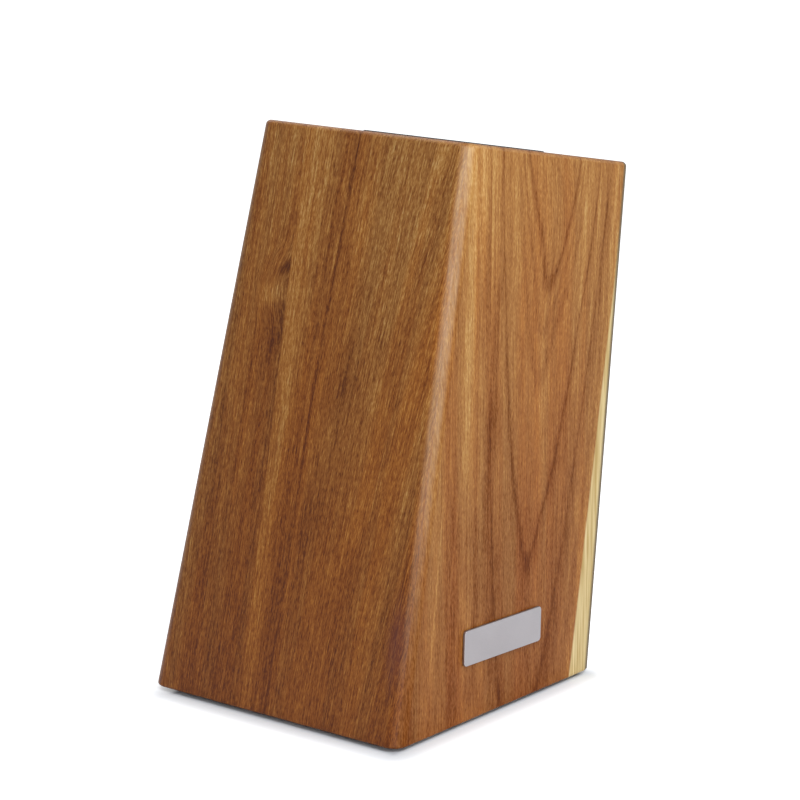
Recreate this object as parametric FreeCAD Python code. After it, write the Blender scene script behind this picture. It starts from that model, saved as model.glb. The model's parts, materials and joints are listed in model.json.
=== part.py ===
import FreeCAD, Part
import math
import os

# Empty knife block: a hollow, leaning shell of mitred hardwood boards on four rubber
# feet, with a slotted plastic insert that lifts out of its mouth along the lean.
#
# Working frame: X runs along the plate side (which faces -Y), Z is up from the table,
# and the shell's near bottom corner stands over (0, 0). Everything leans towards +X.
# The whole model is moved at the end, so that its own origin is the middle of its
# bounding box's underside.

# ---------------------------------------------------------------- driving dimensions
# Lengths in millimetres, angles in degrees.

# shell
base_length = 127.7         # bottom edge of the plate side
base_depth = 125.8          # bottom edge of the leaning side
shell_height = 225.4        # bottom edge up to the highest edge
lean_angle = 10.9           # leaning side and knife axis, from vertical
tail_angle = 6.2            # side opposite the leaning side, from vertical
taper_angle = 5.9           # far side, from vertical, towards the plate side
plate_side_thickness = 24.0  # of the board on each side
tail_side_thickness = 27.5
far_side_thickness = 30.0
lean_side_thickness = 27.5
long_edge_radius = 6.0
top_edge_radius = 2.0
bottom_edge_radius = 1.0
lean_glue_line = 79.0       # from the plate side to the glue line of the leaning side
tail_glue_line = 52.0       # the same, on the opposite side

# base board, let into the underside of the shell
base_thickness = 12.0
base_seat_width = 10.0      # how far it reaches under each wall
base_clearance = 0.2        # all round its edge

# screws of the base board
screw_length = 25.0
screw_diameter = 3.0
screw_head_diameter = 5.8
screw_point_length = 3.0
screw_hole_clearance = 0.1  # on the radius
recess_length = 3.0         # arm to arm of the cross recess
recess_width = 0.7
recess_depth = 1.0

# feet
foot_diameter = 12.0
foot_thickness = 2.6
foot_recess_depth = 1.4
foot_edge_radius = 0.5
foot_inset = 10.0           # foot centre from the base board's edges

# name plate, left bare
plate_length = 49.5
plate_height = 14.2
plate_thickness = 1.0
plate_corner_radius = 1.6
plate_edge_radius = 0.25
plate_centre_x = 65.0       # from the near corner
plate_centre_z = 29.5       # above the bottom edge of the shell
plate_turn = 1.8            # clockwise, seen from in front
adhesive_thickness = 0.3
adhesive_margin = 1.2       # from the plate's edge to the adhesive's

# mouth of the shell and rim of the insert
rebate_width = 2.0
rebate_depth = 2.0
rebate_corner_radius = 6.0
rim_clearance = 0.3         # rim to rebate, sideways and below
rim_proud = 0.4             # rim above the wood
rim_edge_radius = 0.35
notch_radius = 1.8          # finger notch in the middle of each rim side

# insert
case_lift = 6.0             # lowest corner of the case above the base board
case_clearance = 0.4        # case to the boards beside it
case_wall = 2.5
case_floor = 2.5
case_corner_radius = 3.0
skirt_height = 6.0
skirt_thickness = 1.2
divider_count = 5
divider_thickness = 3.2
divider_top_drop = 1.0      # divider tops below the wood's top face
groove_depth = 1.0
groove_clearance = 0.1      # on each side of a divider
drain_diameter = 3.0

# ---------------------------------------------------------------- planes and frames

V = FreeCAD.Vector
lean = math.radians(lean_angle)
tail = math.radians(tail_angle)
taper = math.radians(taper_angle)
foot_height = foot_thickness - foot_recess_depth
near_corner = V(0, 0, foot_height)
tail_corner = V(base_length, 0, foot_height)
far_corner = V(0, base_depth, foot_height)
high_corner = V(shell_height * math.tan(lean), 0, foot_height + shell_height)

# A plane is a point on it and its outward normal.
SIDES = ["plate", "tail", "far", "lean"]
OUTER = {
    "plate": (near_corner, V(0, -1, 0)),
    "tail": (tail_corner, V(math.cos(tail), 0, -math.sin(tail))),
    "far": (far_corner, V(0, math.cos(taper), math.sin(taper))),
    "lean": (near_corner, V(-math.cos(lean), 0, math.sin(lean))),
}
FLOOR = (near_corner, V(0, 0, -1))
TOP = (high_corner, V(math.sin(lean), 0, math.cos(lean)))

# The insert is drawn upright, with its origin at the shell's high corner, X down the
# slope of the top face and Z along the knife axis, and is then tilted into place.
TILT = FreeCAD.Placement(high_corner, FreeCAD.Rotation(V(0, 1, 0), lean_angle))


def inward(plane, distance):
    """The plane moved into the shell by a distance."""
    point, normal = plane
    return (point - normal * distance, normal)


def meet(first, second, third):
    """The point where three planes meet."""
    planes = [first, second, third]
    offsets = [point.dot(normal) for point, normal in planes]
    normals = [normal for point, normal in planes]
    crosses = [normals[(i + 1) % 3].cross(normals[(i + 2) % 3]) for i in range(3)]
    total = crosses[0] * offsets[0] + crosses[1] * offsets[1] + crosses[2] * offsets[2]
    return total * (1.0 / normals[0].dot(crosses[0]))


THICKNESS = {
    "plate": plate_side_thickness,
    "tail": tail_side_thickness,
    "far": far_side_thickness,
    "lean": lean_side_thickness,
}
INNER = {side: inward(OUTER[side], THICKNESS[side]) for side in SIDES}


def upright(point):
    """A point of the working frame, in the insert's upright frame."""
    return TILT.inverse().multVec(point)


# ---------------------------------------------------------------- basic solids


def between_planes(planes):
    """The solid on the inner side of every plane."""
    reach = 3 * (base_length + base_depth + shell_height)
    solid = Part.makeBox(reach, reach, reach, V(-reach, -reach, -reach) / 2)
    for point, normal in planes:
        beyond = Part.makeBox(2 * reach, 2 * reach, 2 * reach, V(-reach, -reach, 0))
        beyond.Placement = FreeCAD.Placement(point, FreeCAD.Rotation(V(0, 0, 1), normal))
        solid = solid.cut(beyond)
    return solid.Solids[0]


def block(low, high):
    """Box between two corners."""
    size = high - low
    return Part.makeBox(size.x, size.y, size.z, low)


def rounded_block(low, high, radius):
    """Box between two corners, with its upright edges rounded."""
    box = block(low, high)
    uprights = [edge for edge in box.Edges if abs(edge.tangentAt(0).z) > 0.9]
    return box.makeFillet(radius, uprights)


def rod(radius, length, start, direction=V(0, 0, 1)):
    """Cylinder from its start, along a direction."""
    return Part.makeCylinder(radius, length, start, direction)


def grown(low, high, margin):
    """Two plan corners moved apart by a margin; their heights are kept."""
    step = V(margin, margin, 0)
    return low - step, high + step


# ---------------------------------------------------------------- shell


def rounded_body():
    """The shell's outer shape as one solid, with all its edges rounded."""
    body = between_planes([OUTER[side] for side in SIDES] + [FLOOR, TOP])
    long_edges = [edge for edge in body.Edges if edge.tangentAt(0).dot(TOP[1]) ** 2 > 0.5]
    body = body.makeFillet(long_edge_radius, long_edges)
    top_face = max(body.Faces, key=lambda face: face.CenterOfMass.dot(TOP[1]))
    body = body.makeFillet(top_edge_radius, top_face.OuterWire.Edges)
    bottom_face = min(body.Faces, key=lambda face: face.CenterOfMass.z)
    return body.makeFillet(bottom_edge_radius, bottom_face.OuterWire.Edges)


def seat_corners(margin):
    """Plan corners of the base board's seat, at the floor and at the seat's height."""
    level = inward(FLOOR, base_thickness)
    near = meet(INNER["plate"], INNER["lean"], level)
    far = meet(INNER["far"], INNER["tail"], level)
    low, high = grown(near, far, base_seat_width - margin)
    return V(low.x, low.y, foot_height), high


def mouth_corners():
    """Plan corners, in the upright frame, of the straight way in between the boards."""
    tail_point = upright(meet(INNER["plate"], INNER["tail"], TOP))
    far_point = upright(meet(INNER["lean"], INNER["far"], TOP))
    low = V(lean_side_thickness, plate_side_thickness, 0)
    return low, V(tail_point.x, far_point.y, 0)


def rebate_cutter():
    """What is milled out round the mouth for the rim."""
    low, high = mouth_corners()
    low, high = grown(low, high, rebate_width)
    low.z = -rebate_depth
    high.z = rebate_depth
    cutter = rounded_block(low, high, rebate_corner_radius)
    cutter.Placement = TILT
    return cutter


def screw_points():
    """Where the base board's screws enter, on its underside: two in each of two walls."""
    low, high = seat_corners(0)
    rows = [low.y + base_seat_width / 2, high.y - base_seat_width / 2]
    quarters = [low.x + (high.x - low.x) * share for share in (0.3, 0.7)]
    return [V(x, y, foot_height) for y in rows for x in quarters]


def screw_holes():
    """Clearance round every screw, cut from the board and from the walls above it."""
    radius = screw_diameter / 2 + screw_hole_clearance
    head_radius = screw_head_diameter / 2 + screw_hole_clearance
    holes = []
    for point in screw_points():
        holes.append(rod(radius, screw_length + 1, point))
        holes.append(Part.makeCone(head_radius, radius, head_radius - radius, point))
    return Part.makeCompound(holes)


def mitre(side, neighbour):
    """The plane that parts two neighbouring boards, seen from the first."""
    point = meet(OUTER[side], OUTER[neighbour], FLOOR)
    return (point, OUTER[neighbour][1] - OUTER[side][1])


def board(side, body):
    """One wall of the shell as a single mitred board."""
    index = SIDES.index(side)
    before = SIDES[index - 1]
    after = SIDES[(index + 1) % len(SIDES)]
    inner_point, normal = INNER[side]
    wall = between_planes([
        OUTER[side],
        (inner_point, -normal),
        mitre(side, before),
        mitre(side, after),
        FLOOR,
        TOP,
    ])
    low, high = seat_corners(0)
    wall = wall.common(body).cut(block(low, high)).cut(rebate_cutter())
    return wall.cut(screw_holes())


def staves(wall, glue_line):
    """A board divided at its glue line into the stave near the plate side and the rest."""
    reach = 2 * (base_length + shell_height)
    half_space = block(V(-reach, -reach, -reach), V(reach, glue_line, reach))
    return wall.common(half_space), wall.cut(half_space)


def base_board():
    """The board that closes the underside, with its screw holes and foot recesses."""
    low, high = seat_corners(base_clearance)
    panel = block(low, high).cut(screw_holes())
    for point in foot_points():
        panel = panel.cut(rod(foot_diameter / 2, foot_recess_depth, point))
    return panel


def screws():
    """The base board's countersunk screws, one node of separate solids."""
    radius = screw_diameter / 2
    head_radius = screw_head_diameter / 2
    straight = screw_length - screw_point_length
    made = []
    for point in screw_points():
        shank = rod(radius, straight, point)
        tip = Part.makeCone(radius, 0, screw_point_length, point + V(0, 0, straight))
        head = Part.makeCone(head_radius, radius, head_radius - radius, point)
        screw = shank.fuse([tip, head]).removeSplitter()
        for angle in (0, 90):
            arm = block(V(-recess_length, -recess_width, 0) / 2,
                        V(recess_length / 2, recess_width / 2, recess_depth))
            arm.Placement = FreeCAD.Placement(point, FreeCAD.Rotation(V(0, 0, 1), angle))
            screw = screw.cut(arm)
        made.append(screw)
    return Part.makeCompound(made)


# ---------------------------------------------------------------- feet and name plate


def foot_points():
    """Centres of the feet on the shell's underside."""
    low, high = seat_corners(base_clearance)
    inset = V(foot_inset, foot_inset, 0)
    low = low + inset
    high = high - inset
    return [V(x, y, foot_height) for y in (low.y, high.y) for x in (low.x, high.x)]


def foot(point):
    """One round foot, standing on the table and let into the base board."""
    disc = rod(foot_diameter / 2, foot_thickness, V(point.x, point.y, 0))
    low_rim = min(disc.Edges, key=lambda edge: (edge.CenterOfMass.z, -edge.Length))
    return disc.makeFillet(foot_edge_radius, [low_rim])


def plate_slab(length, height, thickness, corner_radius, back):
    """Upright slab on the plate side, centred on the name plate's place and turned."""
    centre = V(plate_centre_x, 0, plate_centre_z + foot_height)
    low = V(-length / 2, back - thickness, -height / 2)
    slab = Part.makeBox(length, thickness, height, low)
    corners = [edge for edge in slab.Edges if abs(edge.tangentAt(0).y) > 0.9]
    slab = slab.makeFillet(corner_radius, corners)
    slab.Placement = FreeCAD.Placement(centre, FreeCAD.Rotation(V(0, 1, 0), plate_turn))
    return slab


def name_plate():
    """The bare metal plate, its front edge slightly eased."""
    plate = plate_slab(plate_length, plate_height, plate_thickness,
                       plate_corner_radius, -adhesive_thickness)
    front = min(plate.Faces, key=lambda face: face.CenterOfMass.y)
    return plate.makeFillet(plate_edge_radius, front.OuterWire.Edges)


def plate_adhesive():
    """The foam tape between the plate and the wood."""
    return plate_slab(plate_length - 2 * adhesive_margin, plate_height - 2 * adhesive_margin,
                      adhesive_thickness, plate_corner_radius / 2, 0)


# ---------------------------------------------------------------- insert


def case_corners():
    """Plan corners of the case's outside, in the upright frame."""
    low, high = mouth_corners()
    return grown(low, high, -case_clearance)


def case_depth():
    """From the wood's top face down the knife axis to the underside of the case."""
    low, high = case_corners()
    corner = TILT.multVec(V(high.x, 0, 0))
    drop = corner.z - (foot_height + base_thickness + case_lift)
    return drop / math.cos(lean)


def pocket_corners():
    """Plan corners of the case's inside."""
    low, high = case_corners()
    return grown(low, high, -case_wall)


def rim_seat():
    """Height of the rim's underside, which is also the top of the case."""
    return rim_clearance - rebate_depth


def slot_width():
    """Clear width between dividers, and between the outer dividers and the case."""
    low, high = pocket_corners()
    return (high.y - low.y - divider_count * divider_thickness) / (divider_count + 1)


def divider_starts():
    """Where each divider begins, across the case."""
    low, high = pocket_corners()
    pitch = slot_width() + divider_thickness
    return [low.y + slot_width() + pitch * i for i in range(divider_count)]


def skirt_block(margin, drop):
    """The room inside the case's top, down to a depth below the rim's underside."""
    low, high = grown(*pocket_corners(), margin)
    low.z = rim_seat() - drop
    high.z = rim_proud
    return block(low, high)


def insert_case():
    """The open case: grooved end walls, drained floor, stepped top for the rim's skirt."""
    low, high = case_corners()
    low.z = -case_depth()
    high.z = rim_seat()
    case = rounded_block(low, high, case_corner_radius)
    low, high = pocket_corners()
    low.z = case_floor - case_depth()
    high.z = 0
    case = case.cut(block(low, high)).cut(skirt_block(skirt_thickness, skirt_height))
    for start in divider_starts():
        groove_low = V(low.x - groove_depth, start - groove_clearance, low.z)
        groove_high = V(high.x + groove_depth, start + divider_thickness, 0)
        groove_high.y += groove_clearance
        case = case.cut(block(groove_low, groove_high))
    pitch = slot_width() + divider_thickness
    for i in range(divider_count + 1):
        for share in (0.25, 0.75):
            x = low.x + (high.x - low.x) * share
            y = low.y + slot_width() / 2 + pitch * i
            case = case.cut(rod(drain_diameter / 2, 2 * case_floor, V(x, y, -case_depth())))
    return case


def insert_rim():
    """The rim that shows round the mouth: flange, finger notches and skirt."""
    low, high = grown(*mouth_corners(), rebate_width - rim_clearance)
    low.z = rim_seat()
    high.z = rim_proud
    flange = rounded_block(low, high, rebate_corner_radius - rim_clearance)
    top = max(flange.Faces, key=lambda face: face.CenterOfMass.z)
    flange = flange.makeFillet(rim_edge_radius, top.OuterWire.Edges)
    middle = (low + high) / 2
    for x, y in ((low.x, middle.y), (high.x, middle.y), (middle.x, low.y), (middle.x, high.y)):
        flange = flange.cut(rod(notch_radius, 2 * rebate_depth, V(x, y, low.z)))
    skirt = skirt_block(skirt_thickness, skirt_height)
    return flange.fuse(skirt).removeSplitter().cut(skirt_block(0, skirt_height))


def insert_divider(start):
    """One divider: tongues in the case's grooves, shoulders under the skirt, round top."""
    low, high = pocket_corners()
    foot_z = case_floor - case_depth()
    shoulder_z = rim_seat() - skirt_height
    tongue = groove_depth - groove_clearance
    blade = block(V(low.x - tongue, start, foot_z),
                  V(high.x + tongue, start + divider_thickness, shoulder_z))
    neck = block(V(low.x, start, shoulder_z),
                 V(high.x, start + divider_thickness, -divider_top_drop))
    top = max(neck.Faces, key=lambda face: face.CenterOfMass.z)
    length_edges = [edge for edge in top.Edges if abs(edge.tangentAt(0).x) > 0.9]
    neck = neck.makeFillet(divider_thickness * 0.45, length_edges)
    return blade.fuse(neck).removeSplitter()


# ---------------------------------------------------------------- the whole model


def shell_nodes(body):
    """Every piece that stays put, by name."""
    lean_near, lean_far = staves(board("lean", body), lean_glue_line)
    tail_near, tail_far = staves(board("tail", body), tail_glue_line)
    nodes = {
        "plate_side_board": board("plate", body),
        "far_side_board": board("far", body),
        "lean_side_wide_stave": lean_near,
        "lean_side_edge_stave": lean_far,
        "tail_side_edge_stave": tail_near,
        "tail_side_wide_stave": tail_far,
        "base_board": base_board(),
        "base_screws": screws(),
        "name_plate": name_plate(),
        "plate_adhesive": plate_adhesive(),
    }
    for i, point in enumerate(foot_points()):
        nodes["rubber_foot_%d" % (i + 1)] = foot(point)
    return nodes


def insert_nodes():
    """Every piece that lifts out, by name, tilted into place."""
    nodes = {"insert_case": insert_case(), "insert_rim": insert_rim()}
    for i, start in enumerate(divider_starts()):
        nodes["insert_divider_%d" % (i + 1)] = insert_divider(start)
    for shape in nodes.values():
        shape.Placement = TILT.multiply(shape.Placement)
    return nodes


def main():
    """Build every node, centre the model on its base and write one STEP file each."""
    body = rounded_body()
    nodes = shell_nodes(body)
    nodes.update(insert_nodes())
    bounds = Part.makeCompound(list(nodes.values())).optimalBoundingBox()
    origin = V(bounds.Center.x, bounds.Center.y, bounds.ZMin)
    os.makedirs("parts", exist_ok=True)
    for name, shape in nodes.items():
        shape.translate(-origin)
        shape.exportStep("parts/%s.step" % name)
        print(name, shape.isValid(), len(shape.Solids), round(shape.Volume, 1))
    print("origin in the working frame:", origin)
    print("mouth:", mouth_corners(), "slot width:", round(slot_width(), 3))


if __name__ == "__main__":
    main()
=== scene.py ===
"""An empty, leaning knife block in oiled acacia, with a slotted black insert, on a studio floor.

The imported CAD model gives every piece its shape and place. This script gives each piece its
material, and builds the floor, the lamps and the camera.
"""

import json
import logging
import math
from dataclasses import dataclass, field
from enum import Enum
from typing import Any

import bmesh
import bpy
from mathutils import Matrix, Vector

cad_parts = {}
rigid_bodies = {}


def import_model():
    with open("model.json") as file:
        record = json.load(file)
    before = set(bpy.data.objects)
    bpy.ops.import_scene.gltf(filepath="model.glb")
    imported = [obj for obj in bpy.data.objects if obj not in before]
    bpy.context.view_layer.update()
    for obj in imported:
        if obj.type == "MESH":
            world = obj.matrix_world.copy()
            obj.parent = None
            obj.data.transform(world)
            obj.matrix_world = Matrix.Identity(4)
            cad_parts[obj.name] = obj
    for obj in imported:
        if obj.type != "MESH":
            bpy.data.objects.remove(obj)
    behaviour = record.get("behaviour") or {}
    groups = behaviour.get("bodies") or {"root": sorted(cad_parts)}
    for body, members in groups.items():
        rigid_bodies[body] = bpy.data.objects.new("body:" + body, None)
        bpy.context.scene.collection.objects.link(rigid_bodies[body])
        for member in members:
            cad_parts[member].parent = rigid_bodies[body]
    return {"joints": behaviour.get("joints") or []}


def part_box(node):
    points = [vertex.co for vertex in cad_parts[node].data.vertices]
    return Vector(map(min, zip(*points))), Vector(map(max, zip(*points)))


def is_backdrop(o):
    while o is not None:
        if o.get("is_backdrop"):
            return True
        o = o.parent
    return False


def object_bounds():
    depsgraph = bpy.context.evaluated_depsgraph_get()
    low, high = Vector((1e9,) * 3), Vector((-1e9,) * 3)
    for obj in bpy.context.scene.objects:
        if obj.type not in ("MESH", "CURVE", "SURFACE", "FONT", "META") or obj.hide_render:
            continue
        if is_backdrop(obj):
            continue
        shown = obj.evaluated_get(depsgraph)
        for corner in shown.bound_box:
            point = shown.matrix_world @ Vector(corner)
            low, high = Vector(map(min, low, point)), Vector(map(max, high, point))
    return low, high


log = logging.getLogger("knife_block")

MM = 0.001

# Where the floor's glow and its painted shadow are measured from, and where the camera looks,
# in millimetres.
PAINTED_SHADOW_PAST_BASE = 9.0  # its edge lies this far past the base board, under the tail side
PAINTED_SHADOW_SHORT_OF_FAR_SIDE = 12.0  # and this far in from the far side's face
AIM_OFFSET = (0.1, -3.8, 1.3)  # from the middle of the whole object's box

# Blender's noise keeps mostly between the outer two of these values.
NOISE_LOW, NOISE_MIDDLE, NOISE_HIGH = 0.3, 0.5, 0.7
NOISE_ROUGHNESS = 0.55  # how strong its finer layers are
LOT_STEP = (7.3, 3.1, 1.7)  # how far apart two lots of noise lie, in spots


def srgb(hex_colour: str) -> tuple[float, float, float, float]:
    """Turn a written sRGB colour into the linear values that shaders use.

    Args:
        hex_colour: colour as "#rrggbb".

    Returns:
        Linear red, green and blue, and an alpha of 1.
    """
    channels = [int(hex_colour[i:i + 2], 16) / 255 for i in (1, 3, 5)]
    linear = [c / 12.92 if c <= 0.04045 else ((c + 0.055) / 1.055) ** 2.4 for c in channels]
    return (linear[0], linear[1], linear[2], 1.0)


class Graph:
    """A node tree that is filled one node at a time."""

    def __init__(self, owner: bpy.types.Material | bpy.types.World) -> None:
        """Start from an empty tree.

        Args:
            owner: the material or world whose nodes these are.
        """
        owner.use_nodes = True
        self.tree = owner.node_tree
        self.tree.nodes.clear()

    def add(self, kind: str, inputs: dict[Any, Any] | None = None, output: int | str = 0,
            **settings: Any) -> bpy.types.NodeSocket | None:
        """Add a node, set its options, and fill or link its inputs.

        Args:
            kind: the node's type, without its "ShaderNode" prefix.
            inputs: input name or number, with a constant or the socket that feeds it.
            output: which output to hand back.
            **settings: the node's own options.

        Returns:
            The chosen output socket, or None for a node that has no output.
        """
        node = self.tree.nodes.new("ShaderNode" + kind)
        for name, value in settings.items():
            setattr(node, name, value)
        for key, value in (inputs or {}).items():
            if isinstance(value, bpy.types.NodeSocket):
                self.tree.links.new(value, node.inputs[key])
            else:
                node.inputs[key].default_value = value
        return node.outputs[output] if len(node.outputs) else None

    def math(self, operation: str, *values: Any, clamp: bool = False) -> bpy.types.NodeSocket:
        """Add a Math node, with its inputs in their order."""
        return self.add("Math", dict(enumerate(values)), operation=operation, use_clamp=clamp)

    def mix(self, factor: bpy.types.NodeSocket, first: Any, second: Any,
            blend: str = "MIX") -> bpy.types.NodeSocket:
        """Mix one colour into another."""
        return self.add("Mix", {"Factor": factor, 6: first, 7: second}, output=2,
                        data_type="RGBA", blend_type=blend)

    def spots(self, place: bpy.types.NodeSocket, size: float,
              detail: float) -> bpy.types.NodeSocket:
        """Add noise with spots of a size in millimetres, on a place in metres."""
        return self.add("TexNoise", {"Vector": place, "Scale": 1 / (size * MM), "Detail": detail})


def ramp_stops(socket: bpy.types.NodeSocket,
               stops: list[tuple[float, Any]]) -> bpy.types.NodeSocket:
    """Give a colour ramp its stops.

    Args:
        socket: the ramp's colour output.
        stops: position and colour, or position and grey level, in rising order.

    Returns:
        The same socket.
    """
    ramp = socket.node.color_ramp
    while len(ramp.elements) > 1:
        ramp.elements.remove(ramp.elements[0])
    for i, (position, value) in enumerate(stops):
        element = ramp.elements[0] if i == 0 else ramp.elements.new(position)
        element.position = position
        element.color = value if isinstance(value, tuple) else (value, value, value, 1.0)
    return socket


class Board(Enum):
    """The boards of the shell, by their CAD names."""

    PLATE_SIDE = "plate_side_board"
    LEAN_WIDE = "lean_side_wide_stave"
    LEAN_EDGE = "lean_side_edge_stave"
    TAIL_EDGE = "tail_side_edge_stave"
    TAIL_WIDE = "tail_side_wide_stave"
    FAR_SIDE = "far_side_board"
    BASE = "base_board"


class Lamp(Enum):
    """What a lamp is there for."""

    KEY = "key"
    FRONT = "front"
    BACK = "back"


# ---- wood

# Lengths in millimetres, in a board's own axes.
SLANT_HEIGHT = 112.0  # grain that slants turns about this height up the face
# Painted light: the seen boards' tone grows paler up the board, as the lamps above would make it.
# It is nil at the first height below and given for the second length.
PAINTED_LIGHT_ZERO = 100.0  # a board's slow change of tone is nil at this height
PAINTED_LIGHT_STEP = 100.0  # and is given for this length
FACE_TOP = 220.0  # the wood's warmth changes from the foot up to here
BEAK_HALF_WIDTH = 7.0  # arches are drawn to a point within this of their middle
RAGGED_REACH = 0.8  # how far a ring's raggedness pushes it in or out
STREAK_ENDS = 20.0  # a streak fades in and out over this length
RIGHT_THROUGH = 1e6  # a patch goes through the whole thickness
# The log's centre stays at least 5 mm behind the face: the square of that.
NEAREST_PITH_SQUARED = 25.0


@dataclass(frozen=True)
class Mottle:
    """Noise drawn out along the grain.

    Attributes:
        across: size of a spot across the grain, in millimetres.
        along: size of a spot along the grain, in millimetres.
        detail: the noise's detail.
        lot: added to the board's seed, so that a board's mottles differ.
    """

    across: float
    along: float
    detail: float
    lot: float


@dataclass(frozen=True)
class Patch:
    """A soft oval area of a board's face that is darker, paler or stained, or whose grain bends.

    Attributes:
        across: its middle across the board, in millimetres.
        along: its middle along the board, in millimetres.
        half_width: half its size across, in millimetres.
        half_length: half its size along, in millimetres.
        tone: added to the tone in its middle.
        tilt: how far it is turned in the face, in degrees.
        squeeze: share by which the grain draws away from its middle.
        shift: how far it moves the grain sideways, in millimetres.
        stain: share of the purple stain in its middle.
    """

    across: float
    along: float
    half_width: float
    half_length: float
    tone: float = 0.0
    tilt: float = 0.0
    squeeze: float = 0.0
    shift: float = 0.0
    stain: float = 0.0


@dataclass(frozen=True)
class Streak:
    """A narrow darker or paler stripe along the grain.

    Attributes:
        foot: its place across the board at the board's foot, in millimetres.
        drift: how far it moves across for each millimetre along.
        half_width: half its width, in millimetres.
        tone: added to the tone in its middle.
        low: where it starts along the board, in millimetres.
        high: where it ends along the board, in millimetres.
    """

    foot: float
    drift: float
    half_width: float
    tone: float
    low: float
    high: float


@dataclass(frozen=True)
class Figure:
    """How one board was sawn from its log, in millimetres in the board's own axes.

    The log's centre line runs almost along the board, so the growth rings cut the face in
    long stripes and, where the centre line comes near, in nested arches.

    Attributes:
        pith_across: the centre line's place across the face at the foot.
        pith_depth: how far behind the face the centre line lies at the foot.
        pith_drift: how far the centre line moves across for each millimetre along.
        pith_rise: how fast the square of its depth shrinks along the board.
        meander: how far the grain wanders sideways.
        rings: distance from the centre line and tone, in rising order.
        slant: two places across the face, and how much the grain leans at each.
        patches: the oval areas.
        streaks: the stripes.
        sharpness: how pointed the arches are; 0 leaves them round.
        sapwood: where the cream sapwood begins at the foot, and its drift.
        shaded_edge: where the painted shade on the edge by the tail side begins at the foot, and
            its drift.
        tone_shift: added to the tone everywhere.
        fade: painted light, added to the tone for each step of the length below, up the board, so
            that the board grows paler towards the top.
        contrast: factor on every layer of the wood's mottle.
        redness: share of the warm tint.
        edge_highlight: factor on the painted highlight on the rounded edges.
        gloss: factor on the sheen, on the darkest lines and on pale wood.
        seed: shifts the board's noise, so that no two boards match.
    """

    pith_across: float
    pith_depth: float
    pith_drift: float = 0.0
    pith_rise: float = 0.0
    meander: float = 6.0
    rings: tuple[tuple[float, float], ...] = ((0.0, 0.5), (100.0, 0.5))
    slant: tuple[float, float, float, float] = (-1.0, 1.0, 0.0, 0.0)
    patches: tuple[Patch, ...] = ()
    streaks: tuple[Streak, ...] = ()
    sharpness: float = 0.0
    sapwood: tuple[float, float] | None = None
    shaded_edge: tuple[float, float] = (1000.0, 0.0)
    tone_shift: float = 0.0
    fade: float = 0.0
    contrast: float = 1.0
    redness: float = 0.3
    edge_highlight: float = 1.0
    gloss: tuple[float, float] = (1.0, 1.0)
    seed: float = 0.0


@dataclass(frozen=True)
class BoardAxes:
    """A board's own axes: across its face, into its thickness, and along its grain.

    Attributes:
        origin: the face's foot corner, in the frame.
        outward: the way the face looks.
        along: the way the grain runs.
    """

    origin: Vector
    outward: Vector
    along: Vector

    def placing(self) -> Matrix:
        """Work out the rotation from the board's axes to the frame's.

        Returns:
            The rotation.
        """
        depth = -self.outward.normalized()
        along = self.along.normalized()
        across = depth.cross(along)
        return Matrix((across, depth, along)).transposed()


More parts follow.
